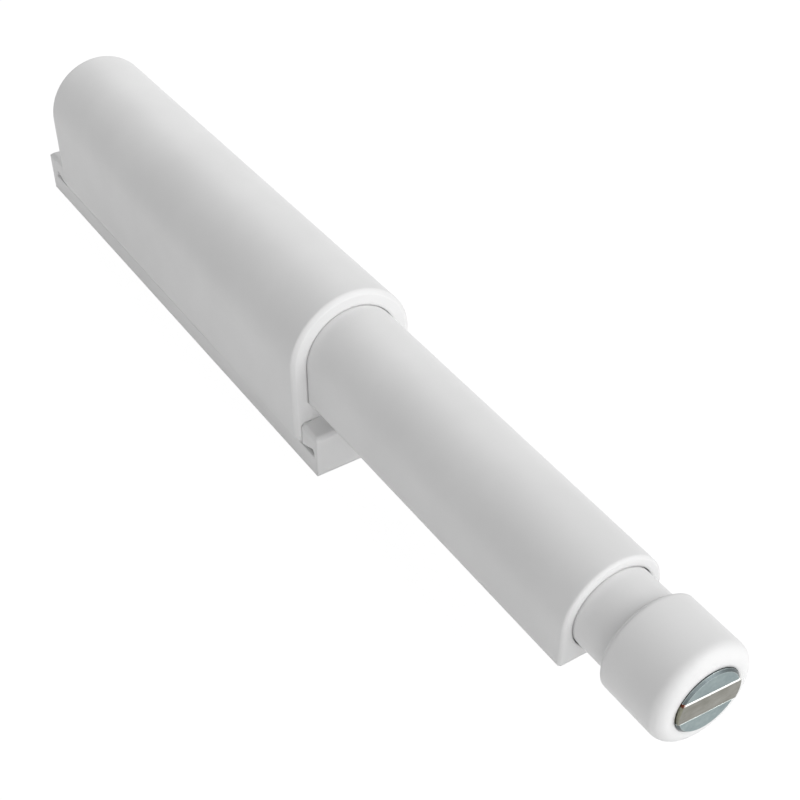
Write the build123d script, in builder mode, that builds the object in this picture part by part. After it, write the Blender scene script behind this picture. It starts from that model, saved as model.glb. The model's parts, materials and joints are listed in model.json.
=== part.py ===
from build123d import *
import math
import os

# Magnetic push latch for a cabinet door, drawn with its plunger sprung out.
# X runs along the latch towards the magnet, Z up from the mounting surface.
# The origin lies on the mounting surface, midway between the two screw holes.

# Driving dimensions of the fixed housing, in millimetres
housing_length = 56.7
housing_wall = 1.53
housing_draft = 0.45
housing_front_rim = 0.4
housing_rear_rim = 0.35
housing_foot_height = 0.85
axis_height = 11.05

# Driving dimensions of the base plate
base_width = 12.0
base_height = 4.7
base_edge_chamfer = 0.3
flange_height = 2.2
front_block_length = 2.8
rear_ear_length = 3.8
end_clearance = 0.05
screw_spacing = 32.0
screw_hole_radius = 1.9
screw_head_radius = 3.5
screw_head_angle = 90
screw_boss_wall = 1.0
underside_wall = 1.6
underside_rib = 1.2
pocket_roof = 1.7
pocket_corner_radius = 0.8

# Driving dimensions of the clip between housing and base plate
rail_clearance = 0.2
clip_groove_height = 0.8
clip_groove_depth = 0.7
lip_clearance = 0.1
lip_length = 8.0
lip_spacing = 20.3
notch_run = 2.35
notch_height = 0.8
notch_nose = 0.3

# Driving dimensions of the plunger
plunger_radius = 5.0
plunger_flat = 4.1
plunger_reach = 39.3
plunger_rim = 0.2
stroke = 38.0
trigger_travel = 2.0
slide_clearance = 0.07
rear_gap = 0.7
shell_wall = 0.92
floor_slot_width = 3.0
bulkhead_thickness = 2.0
stop_lug_length = 2.5
stop_lug_height = 0.8

# Driving dimensions of the catch: a pivoting wire in a heart-shaped track
wire_radius = 0.4
wire_sides = 6
wire_bend_radius = 0.7
wire_arm_length = 12.0
wire_pivot_inset = 1.0
wire_clearance = 0.1
wire_pivot_clearance = 0.05
wire_foot_gap = 0.1
wire_tip_gap = 0.2
pocket_spread = 1.5
lane_offset = 1.8
lane_clearance = 0.1
track_depth = 1.1
track_lead = 2.2
track_end_wall = 2.4
track_mouth_widening = 0.9
island_shoulder = 2.0
island_taper = 0.3

# Driving dimensions of the spring and its guides
spring_radius = 1.95
spring_wire_radius = 0.25
spring_wire_sides = 4
spring_coils = 8
spring_clearance = 0.35
rod_radius = 0.8
rod_clearance = 0.03
rod_chamfer = 0.25
rod_end_gap = 1.0
rod_end_wall = 0.8
rod_boss_wall = 1.4
pilot_length = 2.0
pilot_clearance = 0.2
plug_depth = 3.0
plug_clearance = 0.05
plug_core_depth = 1.5
plug_rim_wall = 1.2
plug_floor_wall = 0.8
bead_height = 0.12
bead_width = 0.8

# Driving dimensions of the turning head that sets the door gap
head_gap = 4.1
adjust_in = 3.5
adjust_out = 2.0
neck_radius = 3.98
neck_inside = 8.4
neck_stop_gap = 1.5
shank_radius = 2.5
shank_end = 1.0
shank_end_gap = 1.0
thread_clearance = 0.06
bush_length = 7.0
bush_clearance = 0.05
bush_key_clearance = 0.05
clip_thickness = 0.8
clip_outer_radius = 3.5
clip_seat_radius = 1.9
clip_mouth_width = 3.04
clip_stop_gap = 0.1
clip_clearance = 0.05
clip_key_clearance = 0.2
clip_key_end_gap = 0.1
ring_inset = 2.2
ring_thickness = 1.2
ring_squeeze = 0.05
ring_clearance = 0.02
ring_side_clearance = 0.05
cap_length = 7.0
cap_radius = 4.87
cap_front_radius = 1.2
cap_rear_chamfer = 0.35
spigot_radius = 3.4
spigot_length = 3.0
fit_gap = 0.04
magnet_pack_radius = 3.12
magnet_pack_depth = 3.4
magnet_proud = 0.3
magnet_thickness = 2.2
magnet_end_inset = 0.05
magnet_extra_proud = 0.06
magnet_edge_chamfer = 0.12
pole_gap = 0.02
pole_chamfer = 0.2
head_turn = -6

# Places along X that follow from the sizes above
base_length = housing_length + front_block_length + rear_ear_length
base_front = base_length / 2
base_rear = -base_length / 2
housing_front = base_front - front_block_length
housing_rear = base_rear + rear_ear_length
housing_middle = (housing_front + housing_rear) / 2
plug_face = housing_rear + plug_depth
plunger_front = housing_front + plunger_reach
plunger_rear = plug_face + rear_gap + stroke
plunger_length = plunger_front - plunger_rear
neck_rear = plunger_front - neck_inside
ring_place = neck_rear + ring_inset
bush_front = neck_rear - adjust_in - neck_stop_gap
bush_rear = bush_front - bush_length
clip_front = bush_rear - adjust_out - clip_stop_gap
clip_rear = clip_front - clip_thickness
shank_rear = clip_rear - shank_end
bulkhead_front = shank_rear - adjust_in - shank_end_gap
spring_seat = bulkhead_front - bulkhead_thickness
cap_rear = plunger_front + head_gap
cap_front = cap_rear + cap_length
pack_front = cap_front + magnet_proud
pack_rear = pack_front - magnet_pack_depth

# Radii and heights that several pieces share
bore_radius = plunger_radius + slide_clearance
bore_flat = plunger_flat + slide_clearance
housing_radius = bore_radius + housing_wall
shell_bore_radius = plunger_radius - shell_wall
block_radius = shell_bore_radius - bush_clearance
spring_bore_radius = spring_radius + spring_wire_radius + spring_clearance
bore_floor = axis_height - bore_flat
plunger_floor = axis_height - plunger_flat
leg_drop = axis_height - flange_height
leg_height = base_height - flange_height
rail_half = bore_radius - rail_clearance
rail_step = base_width / 2 - rail_half
clip_groove_floor = rail_half - clip_groove_depth

# Places of the catch wire and of the track that it follows
wire_pivot = plug_face - wire_pivot_inset
wire_height = bore_floor - wire_radius - wire_clearance
wire_foot = base_height + wire_foot_gap
wire_tip = wire_pivot + math.sqrt(wire_arm_length**2 - lane_offset**2)
wire_tip_top = plunger_floor + track_depth - wire_tip_gap
catch_place = wire_pivot + wire_arm_length + stroke - trigger_travel
deep_place = wire_pivot + wire_arm_length + stroke
lane_half = wire_radius + lane_clearance
block_front = deep_place + wire_radius + track_end_wall


def across(x):
    """Plane square to the latch axis, with its local axes along Y and Z."""
    return Plane(origin=(x, 0, axis_height), x_dir=(0, 1, 0), z_dir=(1, 0, 0))


def arch(radius, drop):
    """Half round about the axis on straight sides that end at a flat floor."""
    with BuildSketch() as profile:
        with BuildLine():
            Polyline((-radius, 0), (-radius, -drop), (radius, -drop), (radius, 0))
            ThreePointArc((radius, 0), (0, radius), (-radius, 0))
        make_face()
    return profile.sketch


def housing_section(radius):
    """Outline of the housing: an arch whose legs slope in to meet the base plate."""
    foot = base_width / 2
    knee = housing_foot_height - leg_drop
    with BuildSketch() as profile:
        with BuildLine():
            Polyline(
                (-radius, 0),
                (-radius, knee),
                (-foot, -leg_drop),
                (foot, -leg_drop),
                (radius, knee),
                (radius, 0),
            )
            ThreePointArc((radius, 0), (0, radius), (-radius, 0))
        make_face()
    return profile.sketch


def turned(*points):
    """Solid of revolution about the latch axis from points of (x, radius)."""
    with BuildPart() as solid:
        with BuildSketch(Plane.XZ):
            with BuildLine():
                Polyline(*[(x, axis_height + radius) for x, radius in points], close=True)
            make_face()
        revolve(axis=Axis((0, 0, axis_height), (1, 0, 0)))
    return solid.part


def write(piece, name):
    piece.part.label = name
    export_step(piece.part, f"parts/{name}.step")


os.makedirs("parts", exist_ok=True)

# Base plate: a flange under the housing's legs and a rail between them
boss_radius = screw_head_radius + screw_boss_wall
inner_pocket = screw_spacing / 2 - boss_radius - underside_rib / 2
outer_pocket = base_front - underside_wall - screw_spacing / 2 - boss_radius
pocket_width = 2 * (clip_groove_floor - underside_rib)
notch_top = flange_height + notch_height

with BuildPart() as base_plate:
    with BuildSketch(Plane.XY):
        Rectangle(base_length, base_width)
    extrude(amount=base_height)
    top_edges = base_plate.faces().sort_by(Axis.Z)[-1].edges()
    chamfer(top_edges, length=base_edge_chamfer)
    with BuildSketch(Plane.XY.offset(flange_height)):
        with Locations((housing_middle, rail_half + rail_step / 2)):
            Rectangle(housing_length + 2 * end_clearance, rail_step)
    leg_step = extrude(amount=leg_height, mode=Mode.SUBTRACT)
    mirror(leg_step, about=Plane.XZ, mode=Mode.SUBTRACT)
    with BuildSketch(Plane.XZ.offset(clip_groove_floor)):
        with Locations((housing_middle, flange_height)):
            Rectangle(housing_length, clip_groove_height, align=(Align.CENTER, Align.MIN))
    clip_groove = extrude(amount=clip_groove_depth, mode=Mode.SUBTRACT)
    mirror(clip_groove, about=Plane.XZ, mode=Mode.SUBTRACT)
    with BuildSketch(Plane.XZ.offset(rail_half)) as notches:
        for start, way in ((housing_front, 1), (housing_rear, -1)):
            with BuildLine():
                Polyline(
                    (start, flange_height),
                    (start + way * (notch_run - notch_nose), notch_top),
                    (start + way * notch_run, notch_top - notch_nose),
                    (start + way * notch_run, flange_height),
                    close=True,
                )
            make_face()
    notch_pair = extrude(amount=rail_step, mode=Mode.SUBTRACT)
    mirror(notch_pair, about=Plane.XZ, mode=Mode.SUBTRACT)
    with BuildSketch(Plane.XY):
        for side in (-1, 1):
            with Locations((side * (underside_rib / 2 + inner_pocket / 2), 0)):
                RectangleRounded(inner_pocket, pocket_width, pocket_corner_radius)
            with Locations((side * (base_front - underside_wall - outer_pocket / 2), 0)):
                RectangleRounded(outer_pocket, pocket_width, pocket_corner_radius)
    extrude(amount=base_height - pocket_roof, mode=Mode.SUBTRACT)
    with Locations(Plane.XY.offset(base_height)):
        with GridLocations(screw_spacing, 0, 2, 1):
            CounterSinkHole(screw_hole_radius, screw_head_radius, counter_sink_angle=screw_head_angle)
write(base_plate, "base_plate")

# Housing: a drafted tunnel with two legs that clip over the rail
lip_reach = rail_clearance + clip_groove_depth - 2 * lip_clearance
lip_height = clip_groove_height - 2 * lip_clearance
lug_slot_width = bore_radius - shell_bore_radius + slide_clearance
lug_slot_depth = stop_lug_height + slide_clearance
lug_slot_length = plunger_rear + stop_lug_length - housing_rear
pocket_margin = wire_radius + 3 * wire_clearance

with BuildPart() as housing:
    with BuildSketch(across(housing_rear)):
        add(housing_section(housing_radius - housing_draft))
    with BuildSketch(across(housing_front)):
        add(housing_section(housing_radius))
    loft()
    front_rim = housing.faces().sort_by(Axis.X)[-1].edges().sort_by(Axis.Z)[1:]
    chamfer(front_rim, length=housing_front_rim)
    rear_rim = housing.faces().sort_by(Axis.X)[0].edges().sort_by(Axis.Z)[1:]
    chamfer(rear_rim, length=housing_rear_rim)
    with BuildSketch(across(housing_rear)):
        add(arch(bore_radius, bore_flat))
    extrude(amount=housing_length, mode=Mode.SUBTRACT)
    with BuildSketch(across(housing_rear)):
        with Locations((0, -leg_drop)):
            Rectangle(2 * bore_radius, leg_height, align=(Align.CENTER, Align.MIN))
    extrude(amount=housing_length, mode=Mode.SUBTRACT)
    for side in (-1, 1):
        with BuildSketch(Plane.XY.offset(flange_height + lip_clearance)):
            with Locations((housing_middle, side * (bore_radius - lip_reach / 2 + lip_clearance))):
                with GridLocations(lip_spacing, 0, 3, 1):
                    Rectangle(lip_length, lip_reach + 2 * lip_clearance)
        extrude(amount=lip_height)
        with BuildSketch(Plane.XY.offset(bore_floor)):
            with Locations((housing_rear + lug_slot_length / 2, side * (bore_radius - lug_slot_width / 2))):
                Rectangle(lug_slot_length, lug_slot_width)
        extrude(amount=-lug_slot_depth, mode=Mode.SUBTRACT)
    with BuildSketch(Plane.XY.offset(bore_floor)):
        with BuildLine():
            Polyline(
                (wire_pivot - pocket_margin, -pocket_spread * pocket_margin),
                (wire_tip + pocket_margin, -lane_offset - pocket_margin),
                (wire_tip + pocket_margin, lane_offset + pocket_margin),
                (wire_pivot - pocket_margin, pocket_spread * pocket_margin),
                close=True,
            )
        make_face()
    extrude(amount=-2 * (wire_radius + wire_clearance), mode=Mode.SUBTRACT)
    with BuildSketch(Plane.XY.offset(base_height)):
        with Locations((wire_pivot, 0)):
            Circle(wire_radius + wire_pivot_clearance)
    extrude(amount=bore_floor - base_height, mode=Mode.SUBTRACT)
    with BuildSketch(across(housing_rear + plug_depth / 2 - bead_width / 2 - plug_clearance)):
        add(arch(bore_radius + bead_height + plug_clearance, bore_flat))
    extrude(amount=bead_width + 2 * plug_clearance, mode=Mode.SUBTRACT)
write(housing, "housing")

# Rear plug: closes the tunnel, carries the guide rod and seats the spring
with BuildPart() as rear_plug:
    with BuildSketch(across(housing_rear)):
        add(arch(bore_radius - plug_clearance, bore_flat - plug_clearance))
    extrude(amount=plug_depth)
    with BuildSketch(across(housing_rear + plug_depth / 2 - bead_width / 2)):
        add(arch(bore_radius + bead_height, bore_flat - plug_clearance))
    extrude(amount=bead_width)
    with BuildSketch(across(plug_face)):
        Circle(spring_radius - spring_wire_radius - pilot_clearance)
    extrude(amount=pilot_length)
    with BuildSketch(across(housing_rear)):
        Circle(bore_radius - plug_rim_wall)
        Circle(rod_radius + rod_boss_wall, mode=Mode.SUBTRACT)
        with Locations((0, plug_floor_wall - bore_flat)):
            Rectangle(2 * bore_radius, bore_radius, align=(Align.CENTER, Align.MAX), mode=Mode.SUBTRACT)
    extrude(amount=plug_core_depth, mode=Mode.SUBTRACT)
    with BuildSketch(across(housing_rear + rod_end_wall)):
        Circle(rod_radius + rod_clearance)
    extrude(amount=plug_depth + pilot_length, mode=Mode.SUBTRACT)
write(rear_plug, "rear_plug")

# Guide rod: keeps the long spring straight
rod_rear = housing_rear + rod_end_wall
rod_front = spring_seat - stroke - rod_end_gap
with BuildPart() as guide_rod:
    with BuildSketch(across(rod_rear)):
        Circle(rod_radius)
    extrude(amount=rod_front - rod_rear)
    chamfer(guide_rod.faces().sort_by(Axis.X)[-1].edges(), length=rod_chamfer)
write(guide_rod, "guide_rod")

# Catch wire: pivots in the housing floor, its bent tip follows the track
with BuildPart() as catch_wire:
    with BuildLine():
        FilletPolyline(
            (wire_pivot, 0, wire_foot),
            (wire_pivot, 0, wire_height),
            (wire_tip, -lane_offset, wire_height),
            (wire_tip, -lane_offset, wire_tip_top),
            radius=wire_bend_radius,
        )
    with BuildSketch(Plane.XY.offset(wire_foot)):
        with Locations((wire_pivot, 0)):
            RegularPolygon(wire_radius, wire_sides)
    sweep()
write(catch_wire, "catch_wire")

# Main spring: pushes the plunger out when the catch lets go
spring_start = plug_face + spring_wire_radius
spring_length = spring_seat - spring_wire_radius - spring_start
with BuildPart() as main_spring:
    with BuildLine():
        coil = Helix(
            pitch=spring_length / spring_coils,
            height=spring_length,
            radius=spring_radius,
            center=(spring_start, 0, axis_height),
            direction=(1, 0, 0),
        )
    with BuildSketch(Plane(origin=coil @ 0, z_dir=coil % 0)):
        RegularPolygon(spring_wire_radius, spring_wire_sides)
    sweep(is_frenet=True)
write(main_spring, "main_spring")

# Plunger shell: the sliding outer moulding
with BuildPart() as plunger_shell:
    with BuildSketch(across(plunger_rear)):
        add(arch(plunger_radius, plunger_flat))
    extrude(amount=plunger_length)
    shell_rim = plunger_shell.faces().sort_by(Axis.X)[-1].edges().sort_by(Axis.Z)[1:]
    chamfer(shell_rim, length=plunger_rim)
    with BuildSketch(across(bulkhead_front)):
        Circle(shell_bore_radius)
        with Locations((0, -plunger_flat)):
            Rectangle(floor_slot_width, plunger_flat, align=(Align.CENTER, Align.MIN))
    extrude(amount=plunger_front - bulkhead_front, mode=Mode.SUBTRACT)
    with BuildSketch(across(plunger_rear)):
        add(arch(shell_bore_radius, plunger_flat))
    extrude(amount=block_front - plunger_rear, mode=Mode.SUBTRACT)
    with BuildSketch(across(block_front)):
        Circle(spring_bore_radius)
    extrude(amount=spring_seat - block_front, mode=Mode.SUBTRACT)
    for side in (-1, 1):
        with BuildSketch(Plane.XY.offset(plunger_floor)):
            with Locations((plunger_rear + stop_lug_length / 2, side * (plunger_radius - shell_wall / 2))):
                Rectangle(stop_lug_length, shell_wall)
        extrude(amount=-stop_lug_height)
write(plunger_shell, "plunger_shell")

# Track block: fills the rear of the shell, heart-shaped track on its underside
track_half = lane_offset + lane_half
mouth_half = track_half + track_mouth_widening
lead_end = plunger_rear + track_lead
island_front = catch_place + 2 * wire_radius
island_half = lane_offset - lane_half
island_tip_half = island_half - island_taper
with BuildPart() as track_block:
    with BuildSketch(across(plunger_rear)):
        add(arch(block_radius, plunger_flat))
        Circle(spring_bore_radius, mode=Mode.SUBTRACT)
    extrude(amount=block_front - plunger_rear)
    with BuildSketch(Plane.XY.offset(plunger_floor)):
        with BuildLine():
            Polyline(
                (plunger_rear, -mouth_half),
                (lead_end, -track_half),
                (deep_place + lane_half, -track_half),
                (deep_place + lane_half, track_half),
                (lead_end, track_half),
                (plunger_rear, mouth_half),
                close=True,
            )
        make_face()
        with BuildLine():
            Polyline(
                (lead_end, 0),
                (catch_place - island_shoulder, -island_half),
                (island_front, -island_tip_half),
                (island_front, island_tip_half),
                (catch_place - island_shoulder, island_half),
                close=True,
            )
        make_face(mode=Mode.SUBTRACT)
        with Locations((catch_place, 0)):
            Circle(lane_half)
            Rectangle(island_front - catch_place, 2 * lane_half, align=(Align.MIN, Align.CENTER))
    extrude(amount=track_depth, mode=Mode.SUBTRACT)
write(track_block, "track_block")

# Thread bush: fixed in the shell and keyed in its floor slot
with BuildPart() as thread_bush:
    with BuildSketch(across(bush_rear)):
        Circle(block_radius)
        with Locations((0, -plunger_flat)):
            key_width = floor_slot_width - 2 * bush_key_clearance
            Rectangle(key_width, plunger_flat, align=(Align.CENTER, Align.MIN))
        Circle(shank_radius + thread_clearance, mode=Mode.SUBTRACT)
    extrude(amount=bush_length)
write(thread_bush, "thread_bush")

# Stem clip: rides in the stem's groove, its tab keyed in the floor slot
with BuildPart() as stem_clip:
    with BuildSketch(across(clip_rear)):
        Circle(clip_outer_radius)
        with Locations((0, clip_key_end_gap - plunger_flat)):
            tab_width = floor_slot_width - 2 * clip_key_clearance
            Rectangle(tab_width, plunger_flat - clip_key_end_gap, align=(Align.CENTER, Align.MIN))
        Circle(clip_seat_radius + clip_clearance, mode=Mode.SUBTRACT)
        Rectangle(
            clip_mouth_width,
            2 * clip_outer_radius,
            align=(Align.CENTER, Align.MIN),
            mode=Mode.SUBTRACT,
        )
    extrude(amount=clip_thickness)
write(stem_clip, "stem_clip")

# Stem: threaded shank, neck and the spigot that carries the cap
ring_outside = shell_bore_radius - ring_squeeze
ring_seat = ring_outside - ring_thickness
ring_groove_half = ring_thickness / 2 + ring_side_clearance
with BuildPart() as stem:
    add(turned(
        (shank_rear, 0),
        (shank_rear, shank_radius),
        (clip_rear - clip_clearance, shank_radius),
        (clip_rear - clip_clearance, clip_seat_radius),
        (clip_front + clip_clearance, clip_seat_radius),
        (clip_front + clip_clearance, shank_radius),
        (neck_rear, shank_radius),
        (neck_rear, neck_radius),
        (ring_place - ring_groove_half, neck_radius),
        (ring_place - ring_groove_half, ring_seat),
        (ring_place + ring_groove_half, ring_seat),
        (ring_place + ring_groove_half, neck_radius),
        (cap_rear, neck_radius),
        (cap_rear, spigot_radius),
        (cap_rear + spigot_length, spigot_radius),
        (cap_rear + spigot_length, 0),
    ))
write(stem, "stem")

# Stem ring: rubber ring that holds the head where it was turned to
with BuildPart() as stem_ring:
    with BuildSketch(across(ring_place - ring_thickness / 2)):
        Circle(ring_outside)
        Circle(ring_seat + ring_clearance, mode=Mode.SUBTRACT)
    extrude(amount=ring_thickness)
write(stem_ring, "stem_ring")

# Magnet cap: rounded head with a socket behind and the magnet pocket in front
with BuildPart() as magnet_cap:
    with BuildSketch(across(cap_rear)):
        Circle(cap_radius)
    extrude(amount=cap_length)
    fillet(magnet_cap.faces().sort_by(Axis.X)[-1].edges(), radius=cap_front_radius)
    chamfer(magnet_cap.faces().sort_by(Axis.X)[0].edges(), length=cap_rear_chamfer)
    with BuildSketch(across(cap_rear)):
        Circle(spigot_radius + fit_gap)
    extrude(amount=spigot_length + fit_gap, mode=Mode.SUBTRACT)
    with BuildSketch(across(cap_front)):
        Circle(magnet_pack_radius + fit_gap)
    extrude(amount=magnet_proud - magnet_pack_depth, mode=Mode.SUBTRACT)
write(magnet_cap, "magnet_cap")

# Magnet and its two steel pole pieces, turned with the head
turn = math.radians(head_turn)
face_plane = Plane(
    origin=(pack_rear, 0, axis_height),
    x_dir=(0, math.cos(turn), math.sin(turn)),
    z_dir=(1, 0, 0),
)
with BuildPart() as magnet_bar:
    with BuildSketch(face_plane):
        Circle(magnet_pack_radius - magnet_end_inset)
        Rectangle(2 * magnet_pack_radius, magnet_thickness, mode=Mode.INTERSECT)
    extrude(amount=magnet_pack_depth + magnet_extra_proud)
    long_edges = magnet_bar.faces().sort_by(Axis.X)[-1].edges().filter_by(GeomType.LINE)
    chamfer(long_edges, length=magnet_edge_chamfer)
write(magnet_bar, "magnet_bar")

for name, side in (("pole_piece_upper", 1), ("pole_piece_lower", -1)):
    with BuildPart() as pole_piece:
        with BuildSketch(face_plane):
            Circle(magnet_pack_radius)
            with Locations((0, side * (magnet_thickness / 2 + pole_gap))):
                Rectangle(
                    2 * magnet_pack_radius,
                    magnet_pack_radius,
                    align=(Align.CENTER, Align.MIN if side > 0 else Align.MAX),
                    mode=Mode.INTERSECT,
                )
        extrude(amount=magnet_pack_depth)
        round_edge = pole_piece.faces().sort_by(Axis.X)[-1].edges().filter_by(GeomType.CIRCLE)
        chamfer(round_edge, length=pole_chamfer)
    write(pole_piece, name)
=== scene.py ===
import json
import math

import bpy
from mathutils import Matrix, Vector


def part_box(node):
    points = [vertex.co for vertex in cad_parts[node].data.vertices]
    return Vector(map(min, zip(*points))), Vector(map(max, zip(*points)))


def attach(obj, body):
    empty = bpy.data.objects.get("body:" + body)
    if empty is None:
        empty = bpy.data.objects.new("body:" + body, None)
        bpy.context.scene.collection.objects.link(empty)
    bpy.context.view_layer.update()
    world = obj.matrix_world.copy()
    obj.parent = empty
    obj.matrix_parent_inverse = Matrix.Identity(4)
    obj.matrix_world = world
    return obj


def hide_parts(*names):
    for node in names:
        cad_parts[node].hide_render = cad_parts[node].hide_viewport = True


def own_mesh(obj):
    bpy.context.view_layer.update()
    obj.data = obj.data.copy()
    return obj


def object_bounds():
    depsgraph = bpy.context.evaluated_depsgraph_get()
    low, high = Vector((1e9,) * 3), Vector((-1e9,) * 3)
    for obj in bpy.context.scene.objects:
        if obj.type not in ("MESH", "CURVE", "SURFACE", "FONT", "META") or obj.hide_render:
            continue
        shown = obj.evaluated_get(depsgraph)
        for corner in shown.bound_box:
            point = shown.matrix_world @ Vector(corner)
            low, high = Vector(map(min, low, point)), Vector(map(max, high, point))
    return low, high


# A magnetic push latch for a cabinet door, in white plastic with a striped magnetic face.
# X runs along the latch towards the magnet and Z up from the surface it is screwed to.
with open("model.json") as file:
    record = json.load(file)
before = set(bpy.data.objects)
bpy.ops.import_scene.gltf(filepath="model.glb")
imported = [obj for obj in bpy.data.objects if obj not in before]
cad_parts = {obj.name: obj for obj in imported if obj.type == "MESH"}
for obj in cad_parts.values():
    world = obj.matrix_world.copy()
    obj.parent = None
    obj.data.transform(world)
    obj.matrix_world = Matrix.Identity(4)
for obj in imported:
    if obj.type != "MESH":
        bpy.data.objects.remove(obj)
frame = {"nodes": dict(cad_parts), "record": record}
cad_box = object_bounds()
nodes = frame["nodes"]
scene = bpy.context.scene

MM = 0.001
FRAME_PIXELS = 800

# Camera: the perspective that fits the photograph, in pixels and from the housing's front
CAMERA_FROM_HOUSING = Vector((94.78, -56.21, 96.17)) * MM
CAMERA_ANGLES = (46.4411, -0.7922, 56.0809)
CAMERA_NEAR = 5 * MM
FOCAL_PIXELS = 1448.76
OPTICAL_CENTRE = (430, 500)

# Light: large soft lamps from the front, a small near one above the rear and a pale room.
# Each lamp has its name, its direction and distance from the latch, its size and its power.
LAMPS = (
    ("key", (0.95, 0.62, 0.88), 1.0, 0.8, 5.8),
    ("fill", (1.0, -0.2, 0.18), 1.0, 0.8, 3.4),
    ("rear", (-0.9, 0.5, 0.75), 0.17, 0.12, 0.038),
)
ROOM_LIGHT = 0.375
BACKDROP_WHITE = 1.0
FLOOR_SIZE = 3.0
FLOOR_DROP = 0.02 * MM
FLOOR_COLOUR = (0.9, 0.9, 0.9, 1)
FLOOR_ROUGHNESS = 0.9
FLOOR_GLOW = 1.08
FLOOR_GLOW_SHARE = 0.88

# Colours, linear: the clean surface, its duller patches and a painted highlight along its edges
WHITE = ((0.83, 0.83, 0.83, 1), (0.79, 0.79, 0.79, 1), (0.86, 0.86, 0.86, 1))
NATURAL = ((0.72, 0.71, 0.66, 1), (0.62, 0.61, 0.55, 1), (0.78, 0.77, 0.72, 1))
RUBBER = ((0.045, 0.045, 0.045, 1), (0.02, 0.02, 0.02, 1), (0.07, 0.07, 0.07, 1))
STEEL = ((0.55, 0.55, 0.54, 1), (0.30, 0.30, 0.30, 1), (0.75, 0.75, 0.74, 1))
ZINC = ((0.33, 0.40, 0.40, 1), (0.24, 0.30, 0.31, 1), (0.75, 0.82, 0.80, 1))
# Painted shade for the side walls and chamfers of the zinc pieces
ZINC_WALL_SHADE = (0.105, 0.125, 0.13, 1)
NICKEL = ((0.33, 0.325, 0.295, 1), (0.22, 0.215, 0.185, 1), (0.95, 0.95, 0.93, 1))
# Painted shade for the side walls of the magnet bar
NICKEL_WALL_SHADE = (0.26, 0.26, 0.20, 1)
TARNISH = (0.12, 0.035, 0.02, 1)

# The tarnished spot on the magnet bar: its middle, its dark core and where it ends
SPOT = Vector((79.4, -2.75, 12.35)) * MM
SPOT_CORE = 0.13 * MM
SPOT_RADIUS = 0.26 * MM

# Surface patterns: the scale, detail and roughness of each noise
CLOUDS = (90.0, 4.0, 0.5)
SPECKS = (900.0, 5.0, 0.65)
GRAIN = (5200.0, 2.0, 0.5)
SINKS = (160.0, 2.0, 0.5)
STAINS = (700.0, 5.0, 0.6)
SCRATCHES = (2600.0, 4.0, 0.7)

# Where a noise starts to show and where it shows in full, and the most that it may cover
CLOUD_RANGE = (0.35, 0.65)
SPECK_RANGE = (0.62, 0.75)
STAIN_RANGE = (0.35, 0.7)
FINE_RANGE = (0.3, 0.7)
SPECK_COVER = 0.5
SCRATCH_COVER = 0.45

# Which way scratches run: the pattern is drawn out along the axis with the small number
ALONG_X = (0.3, 1, 1)
ALONG_Y = (1, 0.12, 1)
ALL_WAYS = (1, 1, 1)

# The depth of a pattern and how strongly it shows
SINK_BUMP = (0.03 * MM, 0.5)
GRAIN_BUMP = (0.008 * MM, 0.35)
SCRATCH_BUMP = (0.01 * MM, 0.5)

# Edges: the cosine between a surface's own normal and its rounded one, from full edge to none
BEVEL_SAMPLES = 8
EDGE_RANGE = (0.9, 0.985)

# The magnet's painted highlight: how far a surface looks up or down, from none to full, and how much of
# the highlight colour it may take
LONG_EDGE_HIGHLIGHT_RANGE = (0.5, 0.65)
LONG_EDGE_HIGHLIGHT_COVER = 0.6

# Painted wall shade: how much a side wall may look along the latch before it is painted darker, and how
# softly that limit sets in
WALL_LIMIT = 0.9
MAGNET_WALL_LIMIT = 0.4
WALL_BLUR = 0.05

# Gloss: how far the roughness swings around its middle, and the plastic's refraction
PLASTIC_SWING = (-0.05, 0.05)
METAL_SWING = (-0.08, 0.1)
PLASTIC_IOR = 1.49


# Shader helpers
def node(tree, kind, **inputs):
    """A shader node with some of its inputs set: to a value, or to another node's output."""
    made = tree.nodes.new(kind)
    for name, value in inputs.items():
        socket = made.inputs[name.replace("_", " ")]
        if isinstance(value, bpy.types.NodeSocket):
            tree.links.new(value, socket)
        else:
            socket.default_value = value
    return made


def noise(tree, place, pattern):
    scale, detail, roughness = pattern
    made = node(tree, "ShaderNodeTexNoise", Vector=place, Scale=scale, Detail=detail, Roughness=roughness)
    return made.outputs["Fac"]


def ranged(tree, value, low, high, to_low, to_high):
    """A value stretched from one range to another, and held at the ends."""
    ends = {"From_Min": low, "From_Max": high, "To_Min": to_low, "To_Max": to_high}
    return node(tree, "ShaderNodeMapRange", Value=value, **ends).outputs["Result"]


def blended(tree, factor, first, second):
    """The first colour where the factor is 0, and the second where it is 1."""
    made = tree.nodes.new("ShaderNodeMix")
    made.data_type = "RGBA"
    colour_inputs = [socket for socket in made.inputs if socket.type == "RGBA"]
    factor_in, (first_in, second_in) = made.inputs[0], colour_inputs
    for value, socket in ((factor, factor_in), (first, first_in), (second, second_in)):
        if isinstance(value, bpy.types.NodeSocket):
            tree.links.new(value, socket)
        else:
            socket.default_value = value
    return next(socket for socket in made.outputs if socket.type == "RGBA")


def bumped(tree, height, bump, under):
    distance, strength = bump
    made = node(tree, "ShaderNodeBump", Height=height, Distance=distance, Strength=strength, Normal=under)
    return made.outputs["Normal"]


def rounded(tree, radius):
    """Normals that round the edges off, and a mask that is 1 along them and 0 on flats."""
    bevel = node(tree, "ShaderNodeBevel", Radius=radius)
    bevel.samples = BEVEL_SAMPLES
    turn = tree.nodes.new("ShaderNodeVectorMath")
    turn.operation = "DOT_PRODUCT"
    tree.links.new(bevel.outputs["Normal"], turn.inputs[0])
    tree.links.new(tree.nodes.new("ShaderNodeNewGeometry").outputs["Normal"], turn.inputs[1])
    return bevel.outputs["Normal"], ranged(tree, turn.outputs["Value"], *EDGE_RANGE, 1.0, 0.0)


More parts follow.
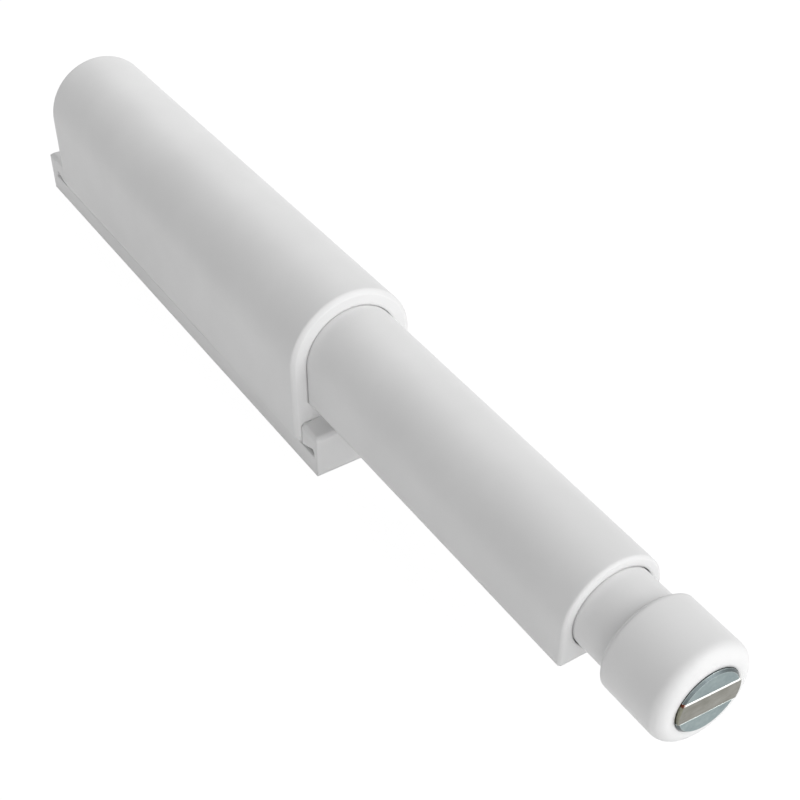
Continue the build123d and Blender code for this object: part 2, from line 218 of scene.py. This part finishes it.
def facing(tree, way):
    """How far a surface looks along X, Y or Z of its own piece, from 0 to 1 both ways."""
    parts = tree.nodes.new("ShaderNodeSeparateXYZ")
    tree.links.new(tree.nodes.new("ShaderNodeTexCoord").outputs["Normal"], parts.inputs[0])
    size = node(tree, "ShaderNodeMath", Value=parts.outputs[way])
    size.operation = "ABSOLUTE"
    return size.outputs[0]


def new_material(name):
    material = bpy.data.materials.new(name)
    material.use_nodes = True
    tree = material.node_tree
    shader = tree.nodes["Principled BSDF"]
    place = tree.nodes.new("ShaderNodeTexCoord").outputs["Object"]
    return material, tree, shader, place


# Materials
def dress(tree, shader, tone, gloss, normal):
    tree.links.new(tone, shader.inputs["Base Color"])
    tree.links.new(gloss, shader.inputs["Roughness"])
    tree.links.new(normal, shader.inputs["Normal"])


def swung(tree, pattern, roughness, swing):
    """A roughness that follows a pattern around its middle."""
    return ranged(tree, pattern, *FINE_RANGE, *(roughness + step for step in swing))


def moulded_plastic(name, colours, roughness, edge_radius):
    """Satin injection-moulded plastic: flow clouds, slight sinks and a spark-eroded grain."""
    clean, dull, edge_highlight = colours
    material, tree, shader, place = new_material(name)
    normal, edge_highlight_mask = rounded(tree, edge_radius)
    clouds = ranged(tree, noise(tree, place, CLOUDS), *CLOUD_RANGE, 0.0, 1.0)
    specks = ranged(tree, noise(tree, place, SPECKS), *SPECK_RANGE, 0.0, SPECK_COVER)
    grain = noise(tree, place, GRAIN)
    tone = blended(tree, clouds, dull, clean)
    tone = blended(tree, specks, tone, dull)
    # Painted highlight: the rounded edges are painted in the lighter edge colour.
    tone = blended(tree, edge_highlight_mask, tone, edge_highlight)
    normal = bumped(tree, noise(tree, place, SINKS), SINK_BUMP, normal)
    normal = bumped(tree, grain, GRAIN_BUMP, normal)
    dress(tree, shader, tone, swung(tree, grain, roughness, PLASTIC_SWING), normal)
    shader.inputs["IOR"].default_value = PLASTIC_IOR
    return material


def tarnished(tree, place, tone):
    """The same colours with the magnet's tarnished spot on them."""
    away = node(tree, "ShaderNodeVectorMath", Vector=place)
    away.operation = "DISTANCE"
    away.inputs[1].default_value = SPOT
    spot = ranged(tree, away.outputs["Value"], SPOT_CORE, SPOT_RADIUS, 1.0, 0.0)
    return blended(tree, spot, tone, TARNISH)


def brushed_metal(name, colours, roughness, stretch, edge_radius, wall_shade=None, magnet=False):
    """Plated metal: fine scratches along one way, soft stains, a painted highlight along the edges and
    painted shade on the side walls.

    On the magnet the highlight is painted instead on the faces that look up or down, which lie along its
    long edges, and one end is tarnished.
    """
    clean, dull, edge_highlight = colours
    material, tree, shader, place = new_material(name)
    normal, edge_highlight_mask = rounded(tree, edge_radius)
    mapping = node(tree, "ShaderNodeMapping", Vector=place, Scale=stretch)
    scratches = noise(tree, mapping.outputs["Vector"], SCRATCHES)
    stains = noise(tree, place, STAINS)
    tone = blended(tree, ranged(tree, stains, *STAIN_RANGE, 0.0, 1.0), clean, dull)
    tone = blended(tree, ranged(tree, scratches, *FINE_RANGE, 0.0, SCRATCH_COVER), tone, dull)
    # Painted shade: faces that look less along the latch than the limit take the darker wall colour.
    if wall_shade:
        limit = MAGNET_WALL_LIMIT if magnet else WALL_LIMIT
        wall_shade_mask = ranged(tree, facing(tree, "X"), limit - WALL_BLUR, limit + WALL_BLUR, 1.0, 0.0)
        tone = blended(tree, wall_shade_mask, tone, wall_shade)
    # On the magnet the painted highlight goes on the faces that look up or down.
    if magnet:
        edge_highlight_mask = ranged(tree, facing(tree, "Z"), *LONG_EDGE_HIGHLIGHT_RANGE, 0.0, LONG_EDGE_HIGHLIGHT_COVER)
    # Painted highlight: the edges, or on the magnet the faces that look up or down, take the lighter edge
    # colour.
    tone = blended(tree, edge_highlight_mask, tone, edge_highlight)
    if magnet:
        tone = tarnished(tree, place, tone)
    normal = bumped(tree, scratches, SCRATCH_BUMP, normal)
    dress(tree, shader, tone, swung(tree, scratches, roughness, METAL_SWING), normal)
    shader.inputs["Metallic"].default_value = 1.0
    return material


# Each finish has its colours, its roughness, for metal its scratches, the radius of its edges, and for
# zinc and magnet the painted shade of their side walls
finishes = {
    "white_plastic": moulded_plastic("white_moulded_plastic", WHITE, 0.45, 0.45 * MM),
    "natural_plastic": moulded_plastic("natural_moulded_plastic", NATURAL, 0.4, 0.15 * MM),
    "black_rubber": moulded_plastic("black_rubber", RUBBER, 0.6, 0.15 * MM),
    "spring_steel": brushed_metal("drawn_spring_steel", STEEL, 0.32, ALONG_X, 0.1 * MM),
    "zinc_steel": brushed_metal("zinc_plated_steel", ZINC, 0.36, ALL_WAYS, 0.08 * MM, ZINC_WALL_SHADE),
    "nickel_magnet": brushed_metal(
        "nickel_plated_magnet", NICKEL, 0.33, ALONG_Y, 0.16 * MM, NICKEL_WALL_SHADE, magnet=True),
}
for part in frame["record"]["subparts"]:
    for slot in nodes[part["node"]].material_slots:
        slot.material = finishes[part["material_slot"]]

# Spring: a copy of the CAD coil with a mesh of its own, hung on the latch base in place of the hidden CAD
# coil
spring = bpy.data.objects.new("coil_spring", nodes["main_spring"].data.copy())
scene.collection.objects.link(spring)
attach(spring, "latch_base")
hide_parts("main_spring")
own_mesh(spring)


# Surroundings
def seen_directly(tree):
    """1 where the camera, a reflection or a refraction looks, and 0 for the light that falls on things."""
    path = tree.nodes.new("ShaderNodeLightPath")
    most = path.outputs["Is Camera Ray"]
    for ray in ("Is Glossy Ray", "Is Transmission Ray"):
        either = tree.nodes.new("ShaderNodeMath")
        either.operation = "MAXIMUM"
        tree.links.new(most, either.inputs[0])
        tree.links.new(path.outputs[ray], either.inputs[1])
        most = either.outputs[0]
    return most


world = bpy.data.worlds.new("studio")
world.use_nodes = True
scene.world = world
room = world.node_tree
background = room.nodes["Background"]
background.inputs["Color"].default_value = (1, 1, 1, 1)
room.links.new(
    ranged(room, seen_directly(room), 0, 1, ROOM_LIGHT, BACKDROP_WHITE), background.inputs["Strength"])


def pale_floor():
    """A pale floor that the camera sees as white with soft shadows, and from below sees through."""
    material, tree, shader, _ = new_material("pale_floor")
    shader.inputs["Base Color"].default_value = FLOOR_COLOUR
    shader.inputs["Roughness"].default_value = FLOOR_ROUGHNESS
    glow = node(tree, "ShaderNodeEmission", Strength=FLOOR_GLOW)
    shown = tree.nodes.new("ShaderNodeMixShader")
    tree.links.new(ranged(tree, seen_directly(tree), 0, 1, 0, FLOOR_GLOW_SHARE), shown.inputs[0])
    tree.links.new(shader.outputs[0], shown.inputs[1])
    tree.links.new(glow.outputs[0], shown.inputs[2])
    one_sided = tree.nodes.new("ShaderNodeMixShader")
    tree.links.new(tree.nodes.new("ShaderNodeNewGeometry").outputs["Backfacing"], one_sided.inputs[0])
    tree.links.new(shown.outputs[0], one_sided.inputs[1])
    tree.links.new(tree.nodes.new("ShaderNodeBsdfTransparent").outputs[0], one_sided.inputs[2])
    tree.links.new(one_sided.outputs[0], tree.nodes["Material Output"].inputs["Surface"])
    return material


bpy.ops.mesh.primitive_plane_add(size=FLOOR_SIZE, location=(0, 0, -FLOOR_DROP))
floor = bpy.context.object
floor.name = "floor"
floor.data.materials.append(pale_floor())

middle = (cad_box[0] + cad_box[1]) / 2
for name, direction, distance, size, power in LAMPS:
    lamp_data = bpy.data.lights.new(name, "AREA")
    lamp_data.shape = "SQUARE"
    lamp_data.size = size
    lamp_data.energy = power
    lamp = bpy.data.objects.new(name, lamp_data)
    scene.collection.objects.link(lamp)
    from_latch = Vector(direction).normalized()
    lamp.location = middle + from_latch * distance
    lamp.rotation_mode = "QUATERNION"
    lamp.rotation_quaternion = (-from_latch).to_track_quat("-Z", "Y")

# Camera
camera_data = bpy.data.cameras.new("camera")
camera = bpy.data.objects.new("camera", camera_data)
scene.collection.objects.link(camera)
scene.camera = camera
housing_front = Vector((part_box("housing")[1].x, 0, 0))
camera.location = housing_front + CAMERA_FROM_HOUSING
camera.rotation_euler = [math.radians(angle) for angle in CAMERA_ANGLES]
camera_data.lens = FOCAL_PIXELS * camera_data.sensor_width / FRAME_PIXELS
camera_data.shift_x = (FRAME_PIXELS / 2 - OPTICAL_CENTRE[0]) / FRAME_PIXELS
camera_data.shift_y = (OPTICAL_CENTRE[1] - FRAME_PIXELS / 2) / FRAME_PIXELS
camera_data.clip_start = CAMERA_NEAR

scene.view_settings.view_transform = "Standard"
